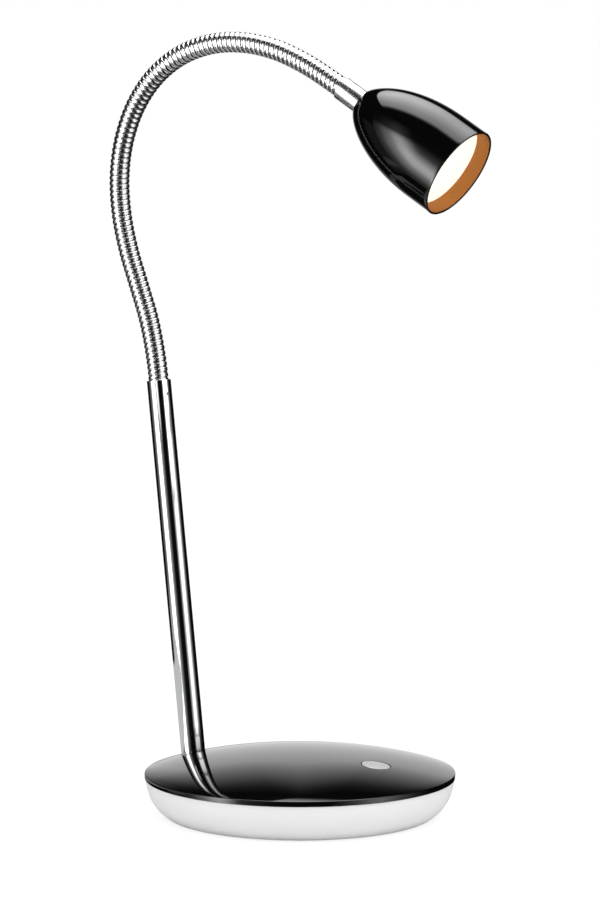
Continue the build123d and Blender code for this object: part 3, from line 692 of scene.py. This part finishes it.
class LAMP_OT_base(bpy.types.Operator):
    """Make the glossy dome, the white bowl and the rubber grommet at the back"""

    bl_idname = "lamp.base"
    bl_label = "Base"

    def execute(self, context):
        sizes = context.scene.lamp_sizes
        self.add_dome(sizes)
        self.add_bowl(sizes)
        self.add_grommet()
        return {"FINISHED"}

    def add_dome(self, sizes):
        steps = 56
        # past here the dome runs straight, so that its slope grows no more
        near_rim = RIM_R * 0.94
        top = [(near_rim * step / steps, dome_z(near_rim * step / steps)) for step in range(steps)]
        slope = (dome_z(near_rim - 0.1) - dome_z(near_rim)) / 0.1
        rim_z = dome_z(near_rim) - slope * (RIM_R - near_rim)
        inner_r = RIM_R - sizes.wall
        rim = rounded([
            (near_rim, dome_z(near_rim), 0),
            (RIM_R, rim_z, sizes.rim_edge),
            (RIM_R, SEAM_Z, 0.25),
            (inner_r, SEAM_Z, 0),
        ])
        inside = [inner_r * step / steps for step in range(steps)]
        under = [(radius, dome_z(radius) - sizes.wall) for radius in inside]
        dome = turn("dome", top + rim + under[::-1], segments=256)
        hole_r = sizes.button_r + sizes.button_gap
        cut(
            dome,
            rod("button_hole", hole_r, -9, 3, BUTTON_FACE, BUTTON_AXIS, 128),
            rod("stem_hole", STEM_R + 0.5, 0, 40, STEM_FOOT, STEM_AXIS, 128),
        )
        place(dome, "root", "cover_plastic", "gloss_black_abs", "base_cover")

    def add_bowl(self, sizes):
        foot_z = 0.6
        opening_r = 62.7
        thickness = sizes.wall - 0.2
        # the side stands upright at the seam and curves in below it
        seam_r, arc_r = 74.4, 20.9
        outer = self.side(seam_r - arc_r, arc_r, foot_z)
        inner = self.side(seam_r - arc_r, arc_r - thickness, foot_z + thickness)
        section = [(opening_r, foot_z)] + outer + inner[::-1] + [(opening_r, foot_z + thickness)]
        bowl = turn("bowl", section, segments=256)
        gland = centre("cord_gland")
        cut(bowl, rod("gland_hole", 3.45, -20, 20, gland, Vector((1, 0, 0)), 64))
        place(bowl, "root", "shell_plastic", "satin_white_abs", "base_shell")

    def side(self, middle_r, arc_r, foot_z, steps=28):
        """The bowl's side as an arc about the seam's height, from its foot up to the seam."""
        lowest = asin((SEAM_Z - foot_z) / arc_r)
        angles = [lowest * (1 - step / steps) for step in range(steps + 1)]
        return [(middle_r + arc_r * cos(t), SEAM_Z - arc_r * sin(t)) for t in angles]

    def add_grommet(self):
        low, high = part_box("cord_gland")
        outer_end = low.x / MM
        seat = -69.5
        bore_r, body_r = 2.1, 3.37
        section = rounded([
            (bore_r, outer_end, 0.45),
            (body_r, outer_end, 0.7),
            (body_r, seat, 0),
            (body_r, high.x / MM, 0.3),
            (bore_r, high.x / MM, 0.3),
        ])
        origin = Vector((0, 0, centre("cord_gland").z))
        grommet = turn("cord_grommet", section, origin, Vector((1, 0, 0)), 72)
        place(grommet, "root", "rubber", "nitrile_rubber", "cord_gland")


class LAMP_OT_button(bpy.types.Operator):
    """Make the satin push button"""

    bl_idname = "lamp.button"
    bl_label = "Push Button"

    def execute(self, context):
        sizes = context.scene.lamp_sizes
        thickness = 2.4
        section = rounded([
            (0, 0, 0),
            (sizes.button_r, 0, sizes.button_edge),
            (sizes.button_r, -thickness, 0.1),
            (0, -thickness, 0),
        ])
        button = turn("push_button", section, BUTTON_FACE, BUTTON_AXIS, 128)
        place(button, "button", "button_metal", "satin_anodised_aluminium", "button_cap")
        return {"FINISHED"}


class LAMP_OT_stem(bpy.types.Operator):
    """Make the plated tube and the set screw near its top"""

    bl_idname = "lamp.stem"
    bl_label = "Stem"

    def execute(self, context):
        sizes = context.scene.lamp_sizes
        bore_r = STEM_R - sizes.stem_wall
        section = rounded([(bore_r, 0, 0.2), (STEM_R, 0, 0.2), (STEM_R, STEM_L, 0.22), (bore_r, STEM_L, 0.2)])
        tube = turn("stem_tube", section, STEM_FOOT, STEM_AXIS, 160)
        seat = screw_seat("stem_grub_screw", STEM_TOP, STEM_AXIS, STEM_R)
        screw = set_screw("stem_set_screw", *seat)
        cut(tube, screw_hole(*seat))
        place(tube, "root", "chrome_plate", "bright_chrome", "stem")
        place(screw, "root", "plain_steel", "satin_chrome", "stem_grub_screw")
        self.add_bush(bore_r)
        return {"FINISHED"}

    def add_bush(self, bore_r):
        """The brass bush that the neck is seated in, sunk just below the tube's end."""
        lead_r, depth, sunk = 2.6, 24.0, 1.4
        section = rounded([
            (lead_r, -depth, 0.2),
            (bore_r - 0.05, -depth, 0.3),
            (bore_r - 0.05, -sunk, 0.3),
            (lead_r, -sunk, 0.2),
        ])
        bush = turn("neck_bush", section, STEM_TOP, STEM_AXIS, 64)
        place(bush, "root", "turned_brass", "lathe_brass", "neck_anchor")


SCREW_R = 0.77
SCREW_GAP = 0.06
SOCKET_R = 0.34


def screw_seat(node, point, axis, outer_r):
    """Where a set screw meets its tube's surface, and the way it faces."""
    offset = centre(node) - point
    outward = (offset - axis * offset.dot(axis)).normalized()
    return point + axis * offset.dot(axis) + outward * outer_r * MM, outward


def screw_hole(seat, outward):
    deep, clear = 1.4, 2
    return rod("screw_hole", SCREW_R + SCREW_GAP, -deep, clear, seat, outward, 48)


def set_screw(name, seat, outward):
    """A small set screw, flush with its tube, with a hexagon socket."""
    sunk, length, edge = 0.06, 1.3, 0.1
    section = rounded([(0, -sunk, 0), (SCREW_R, -sunk, edge), (SCREW_R, -length, 0), (0, -length, 0)])
    screw = turn(name, section, seat, outward, 48)
    return cut(screw, rod("socket", SOCKET_R, -0.7, 2, seat, outward, 6))


# With all of the neck's joints at one limit, rounding spoils that sum at the parted pivots, and
# at the turned one it holds only with the two bodies given in reverse.
PARTED_PIVOTS = (9, 10)
TURNED_PIVOTS = (11,)

# how many straight steps the smooth path takes between two of its points
PATH_STEPS = 24


def neck_path():
    """The neck's centre line: points half way between pivots, and on into stem and sleeve."""
    step = (PIVOTS[1] - PIVOTS[0]).length
    before = [PIVOTS[0] - STEM_AXIS * step * count for count in (1.5, 0.5)]
    between = [(a + b) / 2 for a, b in zip(PIVOTS, PIVOTS[1:])]
    after = [PIVOTS[-1] + HEAD_AXIS * step * count for count in (0.5, 1.5, 2.5)]
    return [*before, *between, *after]


def winding_tree():
    """The neck's winding: an oval wire and a wedge wire wound side by side round the path."""
    lengths = (
        "Start", "End", "Pitch", "Neck Radius", "Wire Half Width", "Wire Half Height",
        "Wedge Outer", "Wedge Inner", "Wedge Depth", "Wedge Setback",
    )
    others = {"Steps": "Int", "Material": "Material"}
    inputs = {"Geometry": "Geometry", **dict.fromkeys(lengths, "Float"), **others}
    tree, given = start_tree("neck_winding", inputs)

    line = add(tree, "GeometryNodeMeshToCurve", {"Mesh": given["Geometry"]})
    curve = add(tree, "GeometryNodeCurveSplineType", {"Curve": line}, spline_type="CATMULL_ROM")
    path = add(tree, "GeometryNodeSetSplineResolution", {0: curve, "Resolution": PATH_STEPS})

    span = add(tree, "ShaderNodeMath", {0: given["End"], 1: given["Start"]}, operation="SUBTRACT")
    turns = add(tree, "ShaderNodeMath", {0: span, 1: given["Pitch"]}, operation="DIVIDE")
    count = add(tree, "ShaderNodeMath", {0: turns, 1: given["Steps"]}, operation="MULTIPLY")
    factor = add(tree, "GeometryNodeSplineParameter")
    covered = add(tree, "ShaderNodeMath", {0: factor, 1: span}, operation="MULTIPLY")
    along = add(tree, "ShaderNodeMath", {0: given["Start"], 1: covered}, operation="ADD")
    here = add(tree, "GeometryNodeSampleCurve", {"Curves": path, "Length": along}, mode="LENGTH")
    across = (0, 1, 0)
    square = {0: across, 1: here.outputs["Tangent"]}
    crossed = add(tree, "ShaderNodeVectorMath", square, operation="CROSS_PRODUCT")
    beside = add(tree, "ShaderNodeVectorMath", {0: crossed}, operation="NORMALIZE")

    def coil(radius, half_turns):
        """A helix at a radius, starting half turns on, with its normals pointing outwards."""
        wound = add(tree, "ShaderNodeMath", {0: along, 1: given["Pitch"]}, operation="DIVIDE")
        shifted = add(tree, "ShaderNodeMath", {0: wound, 1: half_turns / 2}, operation="ADD")
        angle = add(tree, "ShaderNodeMath", {0: shifted, 1: 2 * pi}, operation="MULTIPLY")
        cosine = add(tree, "ShaderNodeMath", {0: angle}, operation="COSINE")
        sine = add(tree, "ShaderNodeMath", {0: angle}, operation="SINE")
        level = add(tree, "ShaderNodeVectorMath", {0: beside, "Scale": cosine}, operation="SCALE")
        sideways = add(tree, "ShaderNodeVectorMath", {0: across, "Scale": sine}, operation="SCALE")
        out = add(tree, "ShaderNodeVectorMath", {0: level, 1: sideways}, operation="ADD")
        offset = add(tree, "ShaderNodeVectorMath", {0: out, "Scale": radius}, operation="SCALE")
        ends = {0: here.outputs["Position"], 1: offset}
        spot = add(tree, "ShaderNodeVectorMath", ends, operation="ADD")
        bar = add(tree, "GeometryNodeCurvePrimitiveLine", {"End": (1, 0, 0)})
        points = add(tree, "GeometryNodeResampleCurve", {"Curve": bar, "Count": count})
        moved = add(tree, "GeometryNodeSetPosition", {"Geometry": points, "Position": spot})
        return add(tree, "GeometryNodeSetCurveNormal", {"Curve": moved, "Normal": out}, mode="FREE")

    def marked(section, groove):
        """A section whose points carry how much painted shade they get for lying in a groove, from 0 to 1."""
        told = {"Geometry": section, "Name": "groove", "Value": groove}
        kind = "GeometryNodeStoreNamedAttribute"
        return add(tree, kind, told, data_type="FLOAT", domain="POINT")

    half_h, depth = given["Wire Half Height"], given["Wedge Depth"]
    wire_centre = add(tree, "ShaderNodeMath", {0: given["Neck Radius"], 1: half_h}, operation="SUBTRACT")
    circle = add(tree, "GeometryNodeCurvePrimitiveCircle", {"Resolution": 16, "Radius": 1.0})
    spot = add(tree, "ShaderNodeSeparateXYZ", {0: add(tree, "GeometryNodeInputPosition")})
    # the painted groove shade starts at 0.85 of the wire's half width and reaches 0.6 at the wire's edge
    from_middle = add(tree, "ShaderNodeMath", {0: spot.outputs["Y"]}, operation="ABSOLUTE")
    beyond = add(tree, "ShaderNodeMath", {0: from_middle, 1: 0.85}, operation="SUBTRACT")
    groove = add(tree, "ShaderNodeMath", {0: beyond, 1: 4.0}, operation="MULTIPLY")
    oval = add(tree, "ShaderNodeCombineXYZ", {0: half_h, 1: given["Wire Half Width"], 2: 1.0})
    oval_section = add(tree, "GeometryNodeTransform", {"Geometry": marked(circle, groove), "Scale": oval})
    wire_parts = {"Curve": coil(wire_centre, 0), "Profile Curve": oval_section, "Fill Caps": True}
    wire = add(tree, "GeometryNodeCurveToMesh", wire_parts)

    setback = {0: given["Neck Radius"], 1: given["Wedge Setback"]}
    wedge_top = add(tree, "ShaderNodeMath", setback, operation="SUBTRACT")
    half_depth = add(tree, "ShaderNodeMath", {0: depth, 1: 2.0}, operation="DIVIDE")
    wedge_centre = add(tree, "ShaderNodeMath", {0: wedge_top, 1: half_depth}, operation="SUBTRACT")
    wedge_sides = {
        "Bottom Width": given["Wedge Inner"], "Top Width": given["Wedge Outer"],
        "Height": depth, "Offset": 0.0,
    }
    wedge_outline = add(tree, "GeometryNodeCurvePrimitiveQuadrilateral", wedge_sides, mode="TRAPEZOID")
    # the wedge wire lies below the crests, so it gets painted shade at 0.45 all over
    facing = {"Geometry": marked(wedge_outline, 0.45), "Rotation": (0, 0, -pi / 2)}
    wedge_section = add(tree, "GeometryNodeTransform", facing)
    wedge_parts = {"Curve": coil(wedge_centre, 1), "Profile Curve": wedge_section, "Fill Caps": True}
    wedge = add(tree, "GeometryNodeCurveToMesh", wedge_parts)

    both = add(tree, "GeometryNodeJoinGeometry", {0: wire})
    tree.links.new(wedge.outputs[0], both.inputs[0])
    end_tree(tree, both, given["Material"])
    return tree


class LAMP_OT_neck(bpy.types.Operator):
    """Wind the neck in pieces round its pivots, and in stretches that part at the parted pivots"""

    bl_idname = "lamp.neck"
    bl_label = "Gooseneck"

    def execute(self, context):
        sizes = context.scene.lamp_sizes
        points = neck_path()
        tree = winding_tree()
        # the winding is cut half way between pivots, and its ends lie inside stem and sleeve
        marks = self.distances(points)[1:len(PIVOTS) + 2]
        half = (PIVOTS[1] - PIVOTS[0]).length / 2
        in_stem, in_sleeve = 1 * MM, 5 * MM
        start = marks[0] + half - (PIVOTS[0] - STEM_TOP).length - in_stem
        end = marks[-1] - half + (SLEEVE_START - PIVOTS[-1]).length + in_sleeve
        cuts = [start, *marks[1:-1], end]
        bodies = ["root", *[hinge["child"] for hinge in hinges]]
        for index, pivot in enumerate(PIVOTS):
            if index in PARTED_PIVOTS:
                continue
            name = f"neck_winding_{index + 1:02d}"
            piece = self.wind(name, points, tree, cuts[index], cuts[index + 1], sizes)
            place(piece, None, "chrome_plate", "wound_chrome")
            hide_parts(f"neck_link_{index + 1:02d}")
            if index in TURNED_PIVOTS:
                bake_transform(piece)
            else:
                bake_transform(piece)
        self.add_stretches(points, tree, cuts, bodies, sizes)
        return {"FINISHED"}

    def add_stretches(self, points, tree, cuts, bodies, sizes):
        """Wind stretches that each stay on one body, and part at the pivots that can't be blended."""
        first, last = PARTED_PIVOTS
        pivot_cuts = [(cuts[index] + cuts[index + 1]) / 2 for index in PARTED_PIVOTS]
        marks = [cuts[first], *pivot_cuts, cuts[last + 1]]
        for step, (start, end) in enumerate(zip(marks, marks[1:])):
            body = bodies[first + step]
            name = f"neck_stretch_{first + step:02d}"
            piece = self.wind(name, points, tree, start, end, sizes)
            nodes = [f"neck_link_{first + step:02d}"] if step else []
            place(piece, body, "chrome_plate", "wound_chrome", *nodes)

    def distances(self, points):
        """How far along the smooth path each of its points lies."""
        total, found = 0.0, [0.0]
        ends = [2 * points[0] - points[1], *points, 2 * points[-1] - points[-2]]
        for before, near, far, after in zip(ends, ends[1:], ends[2:], ends[3:]):
            last = near
            for step in range(1, PATH_STEPS + 1):
                t = step / PATH_STEPS
                here = 0.5 * (
                    2 * near
                    + (far - before) * t
                    + (2 * before - 5 * near + 4 * far - after) * t**2
                    + (3 * near - before - 3 * far + after) * t**3
                )
                total += (here - last).length
                last = here
            found.append(total)
        return found

    def wind(self, name, points, tree, start, end, sizes):
        mesh = bpy.data.meshes.new(name)
        mesh.from_pydata(points, [(i, i + 1) for i in range(len(points) - 1)], [])
        piece = bpy.data.objects.new(name, mesh)
        bpy.context.scene.collection.objects.link(piece)
        modifier = piece.modifiers.new("winding", "NODES")
        modifier.node_group = tree
        lengths = {
            "Pitch": sizes.wire_pitch, "Neck Radius": sizes.neck_r, "Wire Half Width": sizes.wire_half_w,
            "Wire Half Height": sizes.wire_half_h, "Wedge Outer": sizes.wedge_outer,
            "Wedge Inner": sizes.wedge_inner, "Wedge Depth": sizes.wedge_depth,
            "Wedge Setback": sizes.wedge_setback,
        }
        values = {label: size * MM for label, size in lengths.items()}
        others = {"Start": start, "End": end, "Steps": sizes.wire_steps, "Material": surface("wound_chrome")}
        set_inputs(modifier, {**values, **others})
        plain(piece)
        smooth(piece, 50)
        return piece


class LAMP_OT_head(bpy.types.Operator):
    """Make the sleeve, the bell-shaped shade, the copper-coloured ring and the lit diffuser"""

    bl_idname = "lamp.head"
    bl_label = "Head"

    def execute(self, context):
        sizes = context.scene.lamp_sizes
        self.add_sleeve(sizes)
        self.add_shade(sizes)
        self.add_ring(sizes)
        self.add_diffuser(sizes)
        return {"FINISHED"}

    def bell_r(self, distance, sizes):
        """The bell's radius at a distance from its flat end: a steep shoulder, then a long flare."""
        left = max(1 - distance / BELL_L, 0)
        grown = (1 - left**BELL_FLARE) ** BELL_SHOULDER
        return sizes.shade_end_r + (sizes.mouth_r - sizes.shade_end_r) * grown

    def add_sleeve(self, sizes):
        bore_r, end_bore_r, end_t = sizes.neck_r + 0.06, 4.0, 3
        section = rounded([
            (bore_r, 0, 0.2),
            (sizes.sleeve_r, 0, 0.25),
            (sizes.sleeve_r, SLEEVE_L, 0.1),
            (end_bore_r, SLEEVE_L, 0),
            (end_bore_r, SLEEVE_L - end_t, 0),
            (bore_r, SLEEVE_L - end_t, 0),
        ])
        body = hinges[-1]["child"]
        sleeve = turn("plain_sleeve", section, SLEEVE_START, HEAD_AXIS, 160)
        seat = screw_seat("sleeve_grub_screw", SLEEVE_START, HEAD_AXIS, sizes.sleeve_r)
        screw = set_screw("sleeve_set_screw", *seat)
        cut(sleeve, screw_hole(*seat))
        place(sleeve, body, "chrome_plate", "satin_chrome", "head_sleeve")
        place(screw, body, "plain_steel", "satin_chrome", "sleeve_grub_screw")

    def add_shade(self, sizes):
        steps = 72
        # closer points near the flat end, where the bell curves most
        outer = []
        for step in range(1, steps + 1):
            distance = SHADE_L * (step / steps) ** 1.8
            outer.append((self.bell_r(min(distance, SHADE_L - 0.5), sizes), distance))
        outer.pop()
        seat_r = sizes.mouth_r - sizes.lip
        wall = 0.9
        seat = SHADE_L - DIFFUSER_DEPTH - DIFFUSER_T
        lip = rounded([
            outer[-1] + (0,),
            (sizes.mouth_r, SHADE_L, 0.3),
            (seat_r, SHADE_L, 0.25),
            (seat_r, seat, 0),
        ])[1:]
        inner = [(radius - wall, distance) for radius, distance in outer if 3 < distance < seat - 1]
        bore_r, end_t = 4.03, 2.2
        end = [(bore_r, 0), (sizes.shade_end_r, 0)]
        section = [*end, *outer, *lip, (inner[-1][0], seat), *inner[::-1], (bore_r, end_t)]
        shade = turn("bell_shade", section, SHADE_START, HEAD_AXIS, 256)
        place(shade, hinges[-1]["child"], "shade_enamel", "stoved_black_enamel", "shade")

    def add_ring(self, sizes):
        outer_r = sizes.mouth_r - sizes.lip - 0.02
        back, front = SHADE_L - DIFFUSER_DEPTH, SHADE_L - 0.4
        back_r, front_r, edge = 20.5, 21.1, 0.15
        section = rounded([
            (back_r, back, 0), (front_r, front, edge), (outer_r, front, edge), (outer_r, back, 0),
        ])
        ring = turn("copper_ring", section, SHADE_START, HEAD_AXIS, 256)
        place(ring, hinges[-1]["child"], "copper_lacquer", "flake_copper_lacquer", "mouth_ring")

    def add_diffuser(self, sizes):
        radius = sizes.mouth_r - sizes.lip - 0.1
        back, front = SHADE_L - DIFFUSER_DEPTH - DIFFUSER_T, SHADE_L - DIFFUSER_DEPTH
        section = rounded([(0, back, 0), (radius, back, 0.1), (radius, front, 0.1), (0, front, 0)])
        disc = turn("diffuser_disc", section, SHADE_START, HEAD_AXIS, 192)
        place(disc, hinges[-1]["child"], "opal_plastic", "lit_opal_acrylic", "diffuser")


class LAMP_OT_screws(bpy.types.Operator):
    """Repeat the bottom's cap screws round their circle"""

    bl_idname = "lamp.screws"
    bl_label = "Bottom Screws"

    def execute(self, context):
        low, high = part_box("base_screws")
        head_r, shank_r, head_t = 2.7, 1.44, 1.2
        frame_head_r = 2.8
        circle_r = high.x / MM - frame_head_r
        section = rounded([
            (0, 0, 0),
            (head_r, 0, 0.25),
            (head_r, head_t, 0),
            (shank_r, head_t, 0),
            (shank_r, (high.z - low.z) / MM, 0.3),
            (0, (high.z - low.z) / MM, 0),
        ])
        pattern = turn("screw_pattern", section, Vector((0, 0, low.z)), UP, 48)
        cut(pattern, rod("socket", 1.1, -1, 0.8, Vector((0, 0, low.z)), UP, 6))
        screws = new_piece("bottom_screws", bmesh.new())
        modifier = screws.modifiers.new("screws", "NODES")
        modifier.node_group = self.tree()
        set_inputs(modifier, {
            "Screw": pattern,
            "Circle Radius": circle_r * MM,
            "Count": 3,
            "Material": surface("zinc_plated_steel"),
        })
        plain(screws)
        bpy.data.objects.remove(pattern)
        smooth(screws)
        place(screws, "root", "plain_steel", "zinc_plated_steel", "base_screws")
        return {"FINISHED"}

    def tree(self):
        inputs = {
            "Geometry": "Geometry", "Screw": "Object", "Circle Radius": "Float", "Count": "Int",
            "Material": "Material",
        }
        tree, given = start_tree("screw_circle", inputs)
        ring = {"Vertices": given["Count"], "Radius": given["Circle Radius"]}
        circle = add(tree, "GeometryNodeMeshCircle", ring)
        screw = add(tree, "GeometryNodeObjectInfo", {"Object": given["Screw"]})
        copied = {"Points": circle, "Instance": screw.outputs["Geometry"]}
        copies = add(tree, "GeometryNodeInstanceOnPoints", copied)
        end_tree(tree, copies, given["Material"])
        return tree


# frame nodes that stay as they are, and the finish each of them gets
KEPT_NODES = {
    "bottom_plate": "zinc_plated_steel",
    "foot_pad": "nitrile_rubber",
    "ballast": "sand_cast_iron",
    "stem_bracket": "sand_cast_iron",
    "bracket_screws": "zinc_plated_steel",
    "stem_clamp_screw": "zinc_plated_steel",
    "board_standoffs": "glass_filled_nylon",
    "driver_board": "glass_fibre_laminate",
    "driver_parts": "glass_filled_nylon",
    "switch_board": "glass_fibre_laminate",
    "switch_body": "glass_filled_nylon",
    "button_plunger": "glass_filled_nylon",
    "shade_nut": "zinc_plated_steel",
    "heat_sink": "extruded_aluminium",
    "led_board": "glass_fibre_laminate",
    "led_chips": "phosphor_silicone",
}


class LAMP_OT_inside(bpy.types.Operator):
    """Give the inner pieces of the frame their real finishes"""

    bl_idname = "lamp.inside"
    bl_label = "Inner Pieces"

    def execute(self, context):
        for name, finish in KEPT_NODES.items():
            node = frame["nodes"][name]
            for slot in node.material_slots:
                slot.material = surface(finish)
        return {"FINISHED"}


STEPS = (
    LAMP_OT_stage,
    LAMP_OT_base,
    LAMP_OT_button,
    LAMP_OT_stem,
    LAMP_OT_neck,
    LAMP_OT_head,
    LAMP_OT_screws,
    LAMP_OT_inside,
)


class LAMP_PT_panel(bpy.types.Panel):
    """Lists the lamp's steps, sizes and colours"""

    bl_idname = "LAMP_PT_panel"
    bl_label = "Gooseneck Desk Lamp"
    bl_space_type = "VIEW_3D"
    bl_region_type = "UI"
    bl_category = "Lamp"

    def draw(self, context):
        for step in STEPS:
            self.layout.operator(step.bl_idname)
        for group in (context.scene.lamp_sizes, context.scene.lamp_colours, context.scene.lamp_stage):
            box = self.layout.box()
            for key in group.__annotations__:
                box.prop(group, key)


CLASSES = (LampSizes, LampColours, StageSettings, *STEPS, LAMP_PT_panel)


def register():
    for cls in CLASSES:
        bpy.utils.register_class(cls)
    bpy.types.Scene.lamp_sizes = PointerProperty(type=LampSizes)
    bpy.types.Scene.lamp_colours = PointerProperty(type=LampColours)
    bpy.types.Scene.lamp_stage = PointerProperty(type=StageSettings)


def unregister():
    del bpy.types.Scene.lamp_stage
    del bpy.types.Scene.lamp_colours
    del bpy.types.Scene.lamp_sizes
    for cls in reversed(CLASSES):
        bpy.utils.unregister_class(cls)


def main():
    register()
    bpy.ops.lamp.stage()
    bpy.ops.lamp.base()
    bpy.ops.lamp.button()
    bpy.ops.lamp.stem()
    bpy.ops.lamp.neck()
    bpy.ops.lamp.head()
    bpy.ops.lamp.screws()
    bpy.ops.lamp.inside()


if __name__ == "__main__":
    main()
